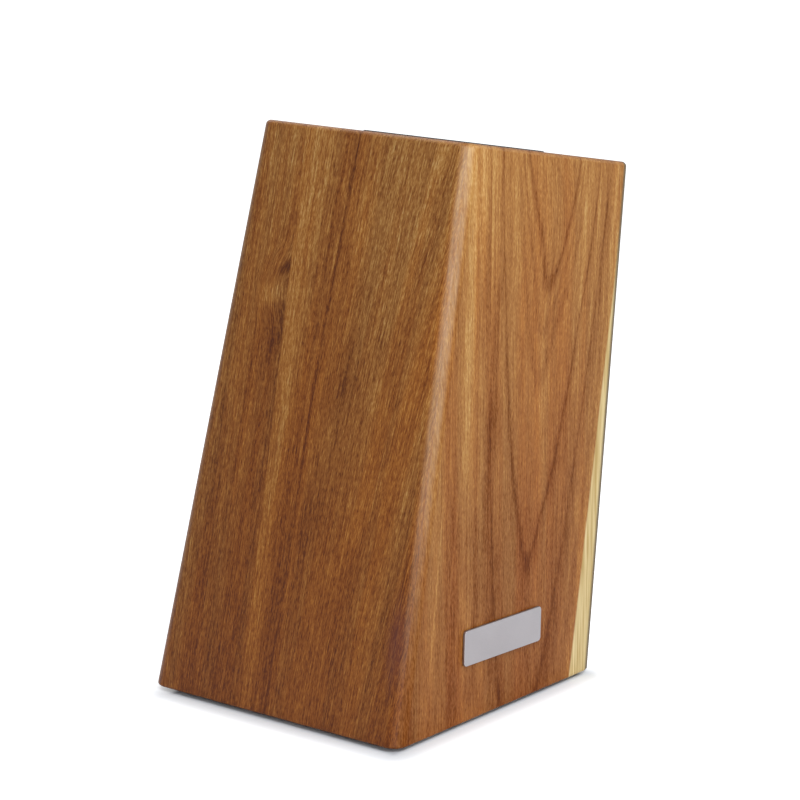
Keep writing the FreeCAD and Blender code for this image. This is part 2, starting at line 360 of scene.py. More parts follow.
@dataclass(frozen=True)
class OiledAcacia:
    """Acacia, planed, sanded and oiled.

    Acacia heartwood runs from honey to red brown in one board, with near-black late wood
    lines, fine dark vessel lines and cream sapwood. Oil leaves it satin, not glossy, and
    darkens the end grain.
    """

    palette: tuple[tuple[float, str], ...] = (
        (0.0, "#55280a"),
        (0.25, "#7f491a"),
        (0.45, "#986230"),
        (0.62, "#ac753b"),
        (0.82, "#c29152"),
        (1.0, "#d5ae73"),
    )
    sapwood: tuple[str, str] = ("#c8a766", "#f2dca6")
    stain: str = "#6a3a3a"  # the purple of some heartwood
    red: str = "#ffe6c4"  # the warm tint, multiplied in
    end_grain: str = "#8a5a3a"
    # the painted highlight on the rounded edges
    edge_highlight_colour: str = "#dabb98"
    # the painted shade on the edge by the tail side, which turns away from the lamps
    edge_shade_colour: str = "#66512f"

    # Satin oil: the film follows the fibres, and thin dark late wood shines less.
    ior: float = 1.48
    roughness: float = 0.4
    roughness_swing: tuple[float, float] = (-0.07, 0.09)
    sheen: float = 0.2
    sheen_tones: tuple[float, float] = (0.2, 0.5)
    relief: float = 0.06
    relief_strength: float = 0.25

    # What swings the tone, and by how much. Real fibres are about 0.02 mm wide: the finest
    # layers are drawn coarser, because thinner ones blur into one colour at this distance.
    layers: tuple[tuple[Mottle, float], ...] = (
        (Mottle(11.0, 260.0, 1.0, 3.0), 0.18),  # broad shades between groups of years
        (Mottle(3.2, 120.0, 2.0, 4.0), 0.18),  # bands within a year
        (Mottle(1.2, 60.0, 2.0, 5.0), 0.26),  # thin stripes along the grain
        (Mottle(0.38, 13.0, 1.0, 6.0), 0.54),  # bundles of fibres
        (Mottle(0.44, 1.8, 1.0, 7.0), 0.58),  # short flecks
        (Mottle(7.0, 4.0, 1.0, 8.0), 0.07),  # faint clouds across the grain
    )
    # Open pores, cut lengthwise: dark dashes where the noise peaks.
    vessels: Mottle = Mottle(0.4, 3.0, 0.0, 12.0)
    vessel_peak: tuple[float, float] = (0.6, 0.72)
    vessel_tone: float = -0.10
    fibres: Mottle = Mottle(0.4, 12.0, 1.0, 6.0)
    wander: Mottle = Mottle(30.0, 150.0, 2.0, 1.0)
    ragged: Mottle = Mottle(4.0, 40.0, 2.0, 2.0)

    # The warm tint comes in clouds, and is stronger at the foot than at the top.
    warm_clouds: Mottle = Mottle(9.0, 180.0, 2.0, 14.0)
    warm_foot: float = 0.45
    warm_top: float = -0.4

    # The sapwood's border wanders by this much and blurs over twice its softness, in
    # millimetres. Inside it, cream bands and fibres add up and are stretched over a span.
    border_wander: Mottle = Mottle(20.0, 55.0, 2.0, 13.0)
    border_reach: float = 1.6
    border_softness: float = 0.6
    # the painted shade's border blurs over twice this, in millimetres
    edge_shade_softness: float = 1.0
    cream_bands: Mottle = Mottle(1.5, 45.0, 2.0, 16.0)
    band_weight: float = 3.0
    band_span: tuple[float, float] = (1.5, 2.5)

    # The rounded edges get a painted highlight: a paler colour that stands in for the lamps'
    # reflection. It starts and is full at these cosines of the turn away from the face, and is
    # gone and full at these on the neighbour's side. It grows up the board, between two heights
    # in millimetres, in patches, and is weaker on edges that cross the grain.
    highlight_turn: tuple[float, float] = (0.995, 0.86)
    highlight_side: tuple[float, float] = (0.5, 0.66)
    highlight_heights: tuple[float, float] = (22.0, 160.0)
    highlight_foot: float = 0.03
    highlight_amount: float = 0.34
    highlight_patches: Mottle = Mottle(0.9, 14.0, 3.0, 15.0)
    highlight_swing: tuple[float, float] = (0.45, 1.45)
    cross_edge: tuple[float, float] = (0.15, 0.5)
    cross_edge_share: float = 0.2

    # End grain shows between these squared cosines of the angle to the grain.
    end_turn: tuple[float, float] = (0.3, 0.95)
    end_amount: float = 0.5

    def material(self, name: str, axes: BoardAxes, figure: Figure) -> bpy.types.Material:
        """Make the material of one board.

        Args:
            name: the material's name.
            axes: where the board lies and which way its grain runs.
            figure: how the board was sawn.

        Returns:
            The finished material.
        """
        made = bpy.data.materials.new(name)
        g = Graph(made)
        place = self._board_place(g, axes)
        warped, bends = self._bent_place(g, place, figure)
        tone = self._tone(g, warped, bends, figure)
        colour = ramp_stops(g.add("ValToRGB", {0: tone}),
                            [(at, srgb(shade)) for at, shade in self.palette])
        warmth = self._noise(g, warped, self.warm_clouds, figure)
        warmth = g.add("MapRange", {0: warmth, 1: NOISE_LOW, 2: NOISE_HIGH,
                                    3: figure.redness - 0.5, 4: figure.redness + 0.5})
        height = g.add("SeparateXYZ", {0: place}).node.outputs[2]
        foot = g.add("MapRange", {0: height, 1: 0.0, 2: FACE_TOP,
                                  3: self.warm_foot, 4: self.warm_top})
        warmth = g.math("ADD", warmth, foot, clamp=True)
        colour = g.mix(warmth, colour, srgb(self.red), "MULTIPLY")
        for patch, inside in bends:
            if patch.stain:
                amount = g.math("MULTIPLY", inside, patch.stain)
                colour = g.mix(amount, colour, srgb(self.stain))
        fibres = self._noise(g, warped, self.fibres, figure)
        # painted highlight on the rounded edges
        colour = self._with_painted_edge_highlight(g, colour, place, axes, figure)
        if figure.sapwood is not None:
            colour = self._with_sapwood(g, colour, place, fibres, figure)
        colour = self._with_end_grain(g, colour, axes)
        height = g.math("MULTIPLY_ADD", fibres, 1.0, tone)
        bump = g.add("Bump", {"Strength": self.relief_strength, "Distance": self.relief * MM,
                              "Height": height})
        smoother, rougher = self.roughness_swing
        rough = g.add("MapRange", {0: fibres, 3: self.roughness + smoother,
                                   4: self.roughness + rougher})
        (dark, pale), (matt, polished) = self.sheen_tones, figure.gloss
        sheen = g.add("MapRange", {0: tone, 1: dark, 2: pale, 3: self.sheen * matt,
                                   4: self.sheen * polished})
        shader = g.add("BsdfPrincipled", {
            "Base Color": colour, "Roughness": rough, "Normal": bump,
            "IOR": self.ior, "Specular IOR Level": sheen,
        })
        g.add("OutputMaterial", {0: shader})
        return made

    def _board_place(self, g: Graph, axes: BoardAxes) -> bpy.types.NodeSocket:
        """Express the surface point in the board's own axes.

        Args:
            g: the material's nodes.
            axes: where the board lies and which way its grain runs.

        Returns:
            The point, in millimetres.
        """
        here = g.add("TexCoord", output="Object")
        return g.add("Mapping", {
            "Vector": here,
            "Location": axes.origin,
            "Rotation": axes.placing().to_euler(),
            "Scale": (MM, MM, MM),
        }, vector_type="TEXTURE")

    def _noise(self, g: Graph, place: bpy.types.NodeSocket, mottle: Mottle,
               figure: Figure) -> bpy.types.NodeSocket:
        """Make noise drawn out along the grain.

        Args:
            g: the material's nodes.
            place: point in the board's axes, in millimetres.
            mottle: the noise's sizes.
            figure: how the board was sawn.

        Returns:
            The noise value, from 0 to 1.
        """
        seed = figure.seed + mottle.lot
        scaled = g.add("Mapping", {
            "Vector": place,
            "Location": tuple(seed * step for step in LOT_STEP),
            "Scale": (1 / mottle.across, 1 / mottle.across, 1 / mottle.along),
        })
        return g.add("TexNoise", {"Vector": scaled, "Scale": 1.0, "Detail": mottle.detail,
                                  "Roughness": NOISE_ROUGHNESS})

    def _bent_place(self, g: Graph, place: bpy.types.NodeSocket, figure: Figure
                    ) -> tuple[bpy.types.NodeSocket, list[tuple[Patch, bpy.types.NodeSocket]]]:
        """Bend the grain: a slow meander, a slant over part of the face, and the patches.

        Args:
            g: the material's nodes.
            place: point in the board's axes, in millimetres.
            figure: how the board was sawn.

        Returns:
            The point after the bends, and each patch with how far inside it the point is.
        """
        parts = g.add("SeparateXYZ", {0: place}).node.outputs
        across, depth, along = parts[0], parts[1], parts[2]
        wobble = self._noise(g, place, self.wander, figure)
        across = g.math("MULTIPLY_ADD", g.math("SUBTRACT", wobble, NOISE_MIDDLE), figure.meander,
                        across)
        low, high, slant_low, slant_high = figure.slant
        slant = g.add("MapRange", {0: across, 1: low, 2: high, 3: -slant_low, 4: -slant_high})
        above = g.math("SUBTRACT", along, SLANT_HEIGHT)
        across = g.math("MULTIPLY_ADD", slant, above, across)
        bends = []
        for patch in figure.patches:
            here = g.add("Mapping", {
                "Vector": place,
                "Location": (patch.across, 0.0, patch.along),
                "Rotation": (0.0, math.radians(patch.tilt), 0.0),
                "Scale": (patch.half_width, RIGHT_THROUGH, patch.half_length),
            }, vector_type="TEXTURE")
            reach = g.add("VectorMath", {0: here}, output="Value", operation="LENGTH")
            inside = g.add("MapRange", {0: reach, 1: 1.0, 2: 0.0},
                           interpolation_type="SMOOTHSTEP")
            if patch.squeeze:
                offset = g.math("SUBTRACT", across, patch.across)
                pull = g.math("MULTIPLY", offset, inside)
                across = g.math("MULTIPLY_ADD", pull, -patch.squeeze, across)
            if patch.shift:
                across = g.math("MULTIPLY_ADD", inside, -patch.shift, across)
            bends.append((patch, inside))
        return g.add("CombineXYZ", {0: across, 1: depth, 2: along}), bends

    def _tone(self, g: Graph, warped: bpy.types.NodeSocket,
              bends: list[tuple[Patch, bpy.types.NodeSocket]], figure: Figure
              ) -> bpy.types.NodeSocket:
        """Work out how dark the wood is at each point.

        Args:
            g: the material's nodes.
            warped: point in the board's axes after the grain's bends.
            bends: each patch with how far inside it the point is.
            figure: how the board was sawn.

        Returns:
            The tone, from 0 for the darkest line to 1 for the palest wood.
        """
        parts = g.add("SeparateXYZ", {0: warped}).node.outputs
        across, depth, along = parts[0], parts[1], parts[2]
        centre = g.math("MULTIPLY_ADD", along, figure.pith_drift, figure.pith_across)
        buried = g.math("MULTIPLY_ADD", along, -figure.pith_rise, figure.pith_depth ** 2)
        buried = g.math("MAXIMUM", buried, NEAREST_PITH_SQUARED)
        buried = g.math("SQRT", buried)
        aside = g.math("SUBTRACT", across, centre)
        under = g.math("ADD", buried, depth)
        beak = g.add("MapRange", {0: g.math("ABSOLUTE", aside),
                                  1: 0.0, 2: BEAK_HALF_WIDTH, 3: 0.0, 4: figure.sharpness})
        radius = g.add("VectorMath", {0: g.add("CombineXYZ", {0: aside, 1: under, 2: beak})},
                       output="Value", operation="LENGTH")
        ragged = self._noise(g, warped, self.ragged, figure)
        radius = g.math("MULTIPLY_ADD", g.math("SUBTRACT", ragged, NOISE_MIDDLE), RAGGED_REACH,
                        radius)
        first, last = figure.rings[0][0], figure.rings[-1][0]
        turn = g.add("MapRange", {0: radius, 1: first, 2: last})
        total = ramp_stops(g.add("ValToRGB", {0: turn}), [
            ((at - first) / (last - first), shade) for at, shade in figure.rings
        ])
        total = g.math("ADD", total, figure.tone_shift)
        for mottle, strength in self.layers:
            noise = self._noise(g, warped, mottle, figure)
            swing = g.math("SUBTRACT", noise, NOISE_MIDDLE)
            total = g.math("MULTIPLY_ADD", swing, strength * figure.contrast, total)
        above = g.math("SUBTRACT", along, PAINTED_LIGHT_ZERO)
        total = g.math("MULTIPLY_ADD", above, figure.fade / PAINTED_LIGHT_STEP, total)
        vessels = self._noise(g, warped, self.vessels, figure)
        start, full = self.vessel_peak
        line = g.add("MapRange", {0: vessels, 1: start, 2: full, 3: 0.0, 4: self.vessel_tone})
        total = g.math("ADD", total, line)
        for patch, inside in bends:
            if patch.tone:
                total = g.math("MULTIPLY_ADD", inside, patch.tone, total)
        for streak in figure.streaks:
            total = self._with_streak(g, total, across, along, streak)
        return total

    def _with_streak(self, g: Graph, total: bpy.types.NodeSocket,
                     across: bpy.types.NodeSocket, along: bpy.types.NodeSocket,
                     streak: Streak) -> bpy.types.NodeSocket:
        """Add one stripe to the tone.

        Args:
            g: the material's nodes.
            total: the tone so far.
            across: place across the grain, in millimetres.
            along: place along the grain, in millimetres.
            streak: the stripe.

        Returns:
            The tone with the stripe.
        """
        line = g.math("MULTIPLY_ADD", along, -streak.drift, across)
        off = g.math("SUBTRACT", line, streak.foot)
        off = g.math("ABSOLUTE", off)
        amount = g.add("MapRange", {0: off, 1: streak.half_width, 2: 0.0, 3: 0.0,
                                    4: streak.tone}, interpolation_type="SMOOTHSTEP")
        start = g.add("MapRange", {0: along, 1: streak.low, 2: streak.low + STREAK_ENDS})
        end = g.add("MapRange", {0: along, 1: streak.high, 2: streak.high - STREAK_ENDS})
        reach = g.math("MULTIPLY", start, end)
        return g.math("MULTIPLY_ADD", amount, reach, total)

    def _with_sapwood(self, g: Graph, colour: bpy.types.NodeSocket,
                      place: bpy.types.NodeSocket, fibres: bpy.types.NodeSocket,
                      figure: Figure) -> bpy.types.NodeSocket:
        """Mix in the cream sapwood beyond its boundary line, and past that a painted shade on the
        edge that turns away from the lamps.

        Args:
            g: the material's nodes.
            colour: the heartwood's colour.
            place: point in the board's axes, in millimetres.
            fibres: the fine fibre noise.
            figure: how the board was sawn.

        Returns:
            The mixed colour.
        """
        foot, drift = figure.sapwood
        parts = g.add("SeparateXYZ", {0: place}).node.outputs
        wander = self._noise(g, place, self.border_wander, figure)
        line = g.math("MULTIPLY_ADD", parts[2], -drift, parts[0])
        line = g.math("MULTIPLY_ADD", g.math("SUBTRACT", wander, NOISE_MIDDLE), self.border_reach,
                      line)
        beyond = g.add("MapRange", {0: line, 1: foot - self.border_softness,
                                    2: foot + self.border_softness},
                       interpolation_type="SMOOTHSTEP")
        bands = self._noise(g, place, self.cream_bands, figure)
        bands = g.math("MULTIPLY", bands, self.band_weight)
        bands = g.math("ADD", bands, fibres)
        bands = g.add("MapRange", {0: bands, 1: self.band_span[0], 2: self.band_span[1]})
        cream = g.mix(bands, srgb(self.sapwood[0]), srgb(self.sapwood[1]))
        cream = g.mix(beyond, colour, cream)
        # painted shade on the edge that turns away from the lamps
        foot, drift = figure.shaded_edge
        line = g.math("MULTIPLY_ADD", parts[2], -drift, parts[0])
        outside = g.add("MapRange", {0: line, 1: foot - self.edge_shade_softness,
                                     2: foot + self.edge_shade_softness},
                        interpolation_type="SMOOTHSTEP")
        return g.mix(outside, cream, srgb(self.edge_shade_colour))

    def _with_painted_edge_highlight(self, g: Graph, colour: bpy.types.NodeSocket,
                           place: bpy.types.NodeSocket, axes: BoardAxes,
                           figure: Figure) -> bpy.types.NodeSocket:
        """Paint a highlight on the rounded edges: a paler colour that stands in for the lamps'
        reflection.

        Args:
            g: the material's nodes.
            colour: the colour so far.
            place: point in the board's axes, in millimetres.
            axes: where the board lies and which way its grain runs.
            figure: how the board was sawn.

        Returns:
            The colour, with the painted highlight on the rounded edges.
        """
        normal = g.add("TexCoord", output="Normal")
        facing = g.add("VectorMath", {0: normal, 1: axes.outward}, output="Value",
                       operation="DOT_PRODUCT")
        start, full = self.highlight_turn
        round_edge = g.add("MapRange", {0: facing, 1: start, 2: full, 3: 0.0, 4: 1.0},
                           interpolation_type="SMOOTHSTEP")
        gone, full = self.highlight_side
        flat_side = g.add("MapRange", {0: facing, 1: gone, 2: full})
        parts = g.add("SeparateXYZ", {0: place}).node.outputs
        low, high = self.highlight_heights
        reach = g.add("MapRange", {0: parts[2], 1: low, 2: high, 3: self.highlight_foot,
                                   4: self.highlight_amount * figure.edge_highlight})
        patchy = self._noise(g, place, self.highlight_patches, figure)
        least, most = self.highlight_swing
        patchy = g.add("MapRange", {0: patchy, 1: NOISE_LOW, 2: NOISE_HIGH, 3: least, 4: most})
        amount = g.math("MULTIPLY", round_edge, flat_side)
        amount = g.math("MULTIPLY", amount, reach)
        amount = g.math("MULTIPLY", amount, patchy)
        rising = g.add("VectorMath", {0: normal, 1: axes.along}, output="Value",
                       operation="DOT_PRODUCT")
        start, full = self.cross_edge
        long_edge = g.add("MapRange", {0: rising, 1: start, 2: full, 3: 1.0,
                                       4: self.cross_edge_share})
        amount = g.math("MULTIPLY", amount, long_edge)
        return g.mix(amount, colour, srgb(self.edge_highlight_colour))

    def _with_end_grain(self, g: Graph, colour: bpy.types.NodeSocket,
                        axes: BoardAxes) -> bpy.types.NodeSocket:
        """Darken what is sawn across the grain, where the oil soaks in.

        Args:
            g: the material's nodes.
            colour: the colour so far.
            axes: where the board lies and which way its grain runs.

        Returns:
            The colour, darker on the end grain.
        """
        normal = g.add("TexCoord", output="Normal")
        facing = g.add("VectorMath", {0: normal, 1: axes.along}, output="Value",
                       operation="DOT_PRODUCT")
        square = g.math("MULTIPLY", facing, facing)
        start, full = self.end_turn
        end = g.add("MapRange", {0: square, 1: start, 2: full, 3: 0.0, 4: self.end_amount},
                    interpolation_type="SMOOTHSTEP")
        return g.mix(end, colour, srgb(self.end_grain), "MULTIPLY")


# Pointed arches down the middle between crisp dark lines, and a cream wedge by the tail side.
PLATE_SIDE_FIGURE = Figure(
    pith_across=76.3, pith_drift=0.097, pith_depth=41.2, pith_rise=7.0, sharpness=8.5,
    meander=2.0,
    rings=(
        (12.0, 0.50), (21.5, 0.50), (22.8, 0.47), (23.4, 0.19), (24.1, 0.44), (25.0, 0.56),
        (26.0, 0.41), (26.8, 0.54), (28.4, 0.41), (29.4, 0.56), (32.5, 0.52), (35.0, 0.50),
        (35.6, 0.44), (36.1, 0.22), (36.8, 0.43), (38.5, 0.52), (42.4, 0.48), (43.0, 0.43),
        (43.5, 0.26), (44.2, 0.42), (46.0, 0.46), (48.0, 0.60), (50.0, 0.50), (52.0, 0.66),
        (55.5, 0.70), (58.0, 0.50), (61.0, 0.44), (66.0, 0.52), (71.0, 0.60), (76.0, 0.50),
        (82.0, 0.44), (90.0, 0.46),
    ),
    patches=(
        Patch(100.0, 190.0, 36.0, 52.0, shift=4.5),
        Patch(106.5, 158.0, 0.8, 2.4, tone=-0.4, tilt=10.0),
        Patch(58.0, 62.0, 46.0, 60.0, tone=-0.06),
        Patch(52.0, 214.0, 12.0, 44.0, tone=0.14),
        Patch(43.0, 70.0, 9.0, 34.0, tone=-0.13),
        Patch(60.0, 115.0, 8.0, 22.0, tone=-0.12),
        Patch(45.0, 12.0, 7.0, 16.0, tone=-0.12),
    ),
    streaks=(
        Streak(50.5, 0.040, 1.3, 0.14, 120.0, 240.0),
        Streak(55.5, 0.040, 1.0, -0.12, 60.0, 240.0),
        Streak(12.0, 0.200, 7.0, 0.05, -20.0, 240.0),
        Streak(43.8, 0.112, 4.5, -0.10, 0.0, 190.0),
        Streak(16.2, 0.130, 1.0, 0.12, 4.0, 100.0),
        Streak(24.0, 0.150, 1.2, 0.10, 20.0, 130.0),
        Streak(33.0, 0.020, 2.0, -0.05, 4.0, 120.0),
        Streak(112.0, 0.02, 2.0, 0.12, 130.0, 240.0),
        Streak(107.5, 0.10, 1.5, 0.12, 130.0, 240.0),
        Streak(113.0, 0.10, 1.3, -0.12, 110.0, 240.0),
        Streak(119.0, 0.10, 1.6, 0.14, 140.0, 240.0),
    ),
    # the shaded edge is painted shade on the rounded edge by the tail side
    sapwood=(110.9, 0.173), shaded_edge=(121.8, 0.1086), contrast=1.05, redness=0.27, tone_shift=-0.01,
    fade=0.11, gloss=(0.35, 0.8), seed=1.0,
)
# Stripes that lean towards the near edge as they rise, a dark line, and a stain near the foot.
LEAN_WIDE_FIGURE = Figure(
    pith_across=-200.0, pith_depth=5.0, meander=5.0,
    rings=(
        (112.0, 0.46), (118.0, 0.50), (122.0, 0.56), (126.0, 0.58), (129.0, 0.54),
        (131.0, 0.44), (135.0, 0.38), (138.0, 0.34), (138.9, 0.14), (139.9, 0.46),
        (155.0, 0.46), (160.0, 0.42), (168.0, 0.47), (178.0, 0.43), (188.0, 0.47),
        (200.0, 0.42),
    ),
    slant=(-75.0, 0.0, 0.03, 0.17),
    patches=(
        Patch(-6.0, 40.0, 7.0, 26.0, tone=-0.05, stain=0.45),
        Patch(-45.0, 135.0, 13.0, 24.0, tone=-0.11, tilt=12.0),
        Patch(-27.0, 149.0, 9.0, 24.0, tone=-0.12, tilt=14.0),
        Patch(-54.0, 79.0, 11.0, 24.0, tone=-0.13, tilt=10.0),
        Patch(-36.0, 50.0, 9.0, 28.0, tone=-0.10, tilt=12.0),
        Patch(-28.0, 95.0, 9.0, 30.0, tone=0.08, tilt=14.0),
        Patch(-12.0, 150.0, 9.0, 60.0, tone=0.07, tilt=8.0),
        Patch(-47.0, 192.0, 9.0, 26.0, tone=0.12),
        Patch(-27.0, 188.0, 8.0, 24.0, tone=-0.10),
    ),
    streaks=(
        Streak(-36.0, 0.03, 2.0, 0.10, 110.0, 240.0),
    ),
    # its red tint, stronger than the plate side's, is painted light: the warm bounce on this
    # shaded side
    seed=2.0, tone_shift=0.01, fade=0.11, contrast=1.6, redness=0.7,
)
# Plain stripes that part round a knot with a pale side.
LEAN_EDGE_FIGURE = Figure(
    pith_across=-220.0, pith_depth=5.0, meander=5.0,
    rings=((95.0, 0.42), (108.0, 0.48), (118.0, 0.42), (128.0, 0.48), (141.0, 0.42)),
    patches=(
        Patch(-76.0, 165.0, 22.0, 24.0, squeeze=0.7),
        Patch(-80.0, 174.5, 9.5, 2.8, tone=-0.45, tilt=-40.0),
        Patch(-86.0, 163.0, 14.0, 7.0, tone=0.24, tilt=-20.0),
        Patch(-85.0, 145.0, 12.0, 21.0, tone=-0.17, tilt=22.0),
    ),
    slant=(-130.0, -70.0, 0.02, 0.06), seed=3.0, tone_shift=-0.02, fade=0.10, contrast=1.6,
    # its red tint, stronger than the plate side's, is painted light: the warm bounce on this
    # shaded side
    redness=0.55, edge_highlight=0.2,
)
# The boards that the camera can't see: arches, stripes, arches and stripes.
FAR_FIGURE = Figure(
    pith_across=62.0, pith_drift=-0.05, pith_depth=46.0, pith_rise=7.0, meander=5.0,
    rings=(
        (15.0, 0.5), (22.0, 0.46), (24.0, 0.2), (25.5, 0.48), (30.0, 0.52), (32.0, 0.22),
        (33.2, 0.46), (38.0, 0.52), (40.0, 0.3), (42.0, 0.5), (50.0, 0.4), (56.0, 0.56),
        (64.0, 0.36), (72.0, 0.5), (100.0, 0.4),
    ),
    seed=4.0,
)
TAIL_EDGE_FIGURE = Figure(
    pith_across=-120.0, pith_depth=30.0, meander=6.0,
    rings=((120.0, 0.5), (132.0, 0.36), (138.0, 0.52), (150.0, 0.42), (160.0, 0.56),
           (172.0, 0.4)),
    slant=(0.0, 52.0, 0.04, -0.03), seed=5.0,
)
TAIL_WIDE_FIGURE = Figure(
    pith_across=92.0, pith_drift=-0.06, pith_depth=52.0, pith_rise=5.0, meander=6.0,
    rings=((20.0, 0.5), (38.0, 0.46), (41.0, 0.24), (42.5, 0.46), (47.0, 0.5), (49.0, 0.3),
           (51.0, 0.5), (60.0, 0.4), (70.0, 0.54), (90.0, 0.42)),
    seed=6.0, tone_shift=0.04,
)
BASE_FIGURE = Figure(
    pith_across=40.0, pith_depth=70.0, meander=6.0,
    rings=((60.0, 0.5), (74.0, 0.4), (82.0, 0.54), (95.0, 0.4), (110.0, 0.52)),
    seed=7.0,
)


# ---- other finishes


@dataclass(frozen=True)
class MouldedPlastic:
    """Black ABS, injection moulded in a fine spark-eroded mould: a soft, even satin.

    Lengths are in millimetres. The mould's grain is drawn coarser than its real 0.05 mm, so
    that it doesn't vanish at the camera's distance.
    """

    colour: str = "#161617"
    worn_colour: str = "#262627"
    ior: float = 1.53
    sheen: float = 0.35
    roughness: float = 0.38
    roughness_swing: tuple[float, float] = (-0.06, 0.08)
    grain: float = 0.25
    relief: float = 0.03
    relief_strength: float = 0.3
    cloud: float = 50 / 3

    def material(self, name: str) -> bpy.types.Material:
        """Make the material.

        Args:
            name: the material's name.

        Returns:
            The finished material.
        """
        made = bpy.data.materials.new(name)
        g = Graph(made)
        here = g.add("TexCoord", output="Object")
        texture = g.spots(here, self.grain, 2.0)
        cloud = g.spots(here, self.cloud, 3.0)
        colour = g.mix(cloud, srgb(self.colour), srgb(self.worn_colour))
        smoother, rougher = self.roughness_swing
        rough = g.add("MapRange", {0: cloud, 3: self.roughness + smoother,
                                   4: self.roughness + rougher})
        bump = g.add("Bump", {"Strength": self.relief_strength, "Distance": self.relief * MM,
                              "Height": texture})
        shader = g.add("BsdfPrincipled", {
            "Base Color": colour, "Roughness": rough, "Normal": bump,
            "IOR": self.ior, "Specular IOR Level": self.sheen,
        })
        g.add("OutputMaterial", {0: shader})
        return made


@dataclass(frozen=True)
class BlastedSteel:
    """Steel, finely blasted: a pale, even grey that blurs what it reflects.

    Lengths are in millimetres. The grit's dents are drawn coarser than their real 0.05 mm.
    """

    colour: str = "#979395"
    paler: float = 1.12
    roughness: float = 0.45
    roughness_swing: float = 0.08
    grit: float = 0.35
    relief: float = 0.02
    relief_strength: float = 0.2
    cloud: float = 100 / 9

    def material(self, name: str) -> bpy.types.Material:
        """Make the material.

        Args:
            name: the material's name.

        Returns:
            The finished material.
        """
        made = bpy.data.materials.new(name)
        g = Graph(made)
        here = g.add("TexCoord", output="Object")
        grit = g.spots(here, self.grit, 2.0)
        cloud = g.spots(here, self.cloud, 2.0)
        light = tuple(min(1.0, c * self.paler) for c in srgb(self.colour))
        colour = g.mix(cloud, srgb(self.colour), light)
        rough = g.add("MapRange", {0: grit, 3: self.roughness - self.roughness_swing,
                                   4: self.roughness + self.roughness_swing})
        bump = g.add("Bump", {"Strength": self.relief_strength, "Distance": self.relief * MM,
                              "Height": grit})
        shader = g.add("BsdfPrincipled", {
            "Base Color": colour, "Metallic": 1.0, "Roughness": rough, "Normal": bump,
        })
        g.add("OutputMaterial", {0: shader})
        return made


@dataclass(frozen=True)
class SoftBlack:
    """Black rubber or foam tape: matt, with a slight dusty bloom. Lengths are in millimetres."""

    colour: str
    bloom: str
    roughness: float
    grain: float
    relief: float = 0.05
    relief_strength: float = 0.4

    def material(self, name: str) -> bpy.types.Material:
        """Make the material.

        Args:
            name: the material's name.

        Returns:
            The finished material.
        """
        made = bpy.data.materials.new(name)
        g = Graph(made)
        here = g.add("TexCoord", output="Object")
        grain = g.spots(here, self.grain, 3.0)
        colour = g.mix(grain, srgb(self.colour), srgb(self.bloom))
        bump = g.add("Bump", {"Strength": self.relief_strength, "Distance": self.relief * MM,
                              "Height": grain})
        shader = g.add("BsdfPrincipled", {
            "Base Color": colour, "Roughness": self.roughness, "Normal": bump,
        })
        g.add("OutputMaterial", {0: shader})
        return made


# ---- sub-assemblies


def dress(node: str, material: bpy.types.Material) -> None:
    """Give a CAD node one material.

    Args:
        node: the CAD node's name.
        material: its material.
    """
    piece = bpy.data.objects[node]
    piece.data.materials.clear()
    piece.data.materials.append(material)
    log.info("%s: %s", node, material.name)


@dataclass
class WoodShell:
    """The hollow shell: four mitred sides, two of them glued from two staves, and the base.

    Attributes:
        knife_axis: the way the shell leans.
        tail_angle: how far the tail side leans out over its foot, in radians.
        taper_angle: how far the far side leans in, in radians.
        wood: the finish of every board.
    """

    knife_axis: Vector
    tail_angle: float = math.radians(6.2)
    taper_angle: float = math.radians(5.9)
    wood: OiledAcacia = field(default_factory=OiledAcacia)

    def dress(self) -> None:
        """Give every board its own cut of the wood."""
        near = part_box(Board.PLATE_SIDE.value)[0]
        near.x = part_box(Board.LEAN_WIDE.value)[0].x
        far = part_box(Board.FAR_SIDE.value)
        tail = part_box(Board.TAIL_EDGE.value)
        up = Vector((0, 0, 1))
        lean_out = Vector((-self.knife_axis.z, 0, self.knife_axis.x))
        tail_out = Vector((math.cos(self.tail_angle), 0, -math.sin(self.tail_angle)))
        tail_up = Vector((math.sin(self.tail_angle), 0, math.cos(self.tail_angle)))
        far_out = Vector((0, math.cos(self.taper_angle), math.sin(self.taper_angle)))
        far_up = Vector((0, -math.sin(self.taper_angle), math.cos(self.taper_angle)))
        tail_x = tail[1].x - math.tan(self.tail_angle) * (tail[1].z - near.z)
        plate_axes = BoardAxes(near, Vector((0, -1, 0)), up)
        lean_axes = BoardAxes(near, lean_out, self.knife_axis)
        tail_axes = BoardAxes(Vector((tail_x, near.y, near.z)), tail_out, tail_up)
        far_axes = BoardAxes(Vector((tail_x, far[1].y, near.z)), far_out, far_up)
        base_axes = BoardAxes(near, Vector((0, 0, -1)), Vector((1, 0, 0)))
        boards = {
            Board.PLATE_SIDE: (plate_axes, PLATE_SIDE_FIGURE),
            Board.LEAN_WIDE: (lean_axes, LEAN_WIDE_FIGURE),
            Board.LEAN_EDGE: (lean_axes, LEAN_EDGE_FIGURE),
            Board.TAIL_EDGE: (tail_axes, TAIL_EDGE_FIGURE),
            Board.TAIL_WIDE: (tail_axes, TAIL_WIDE_FIGURE),
            Board.FAR_SIDE: (far_axes, FAR_FIGURE),
            Board.BASE: (base_axes, BASE_FIGURE),
        }
        for board, (axes, figure) in boards.items():
            name = "oiled_acacia_" + board.value
            dress(board.value, self.wood.material(name, axes, figure))


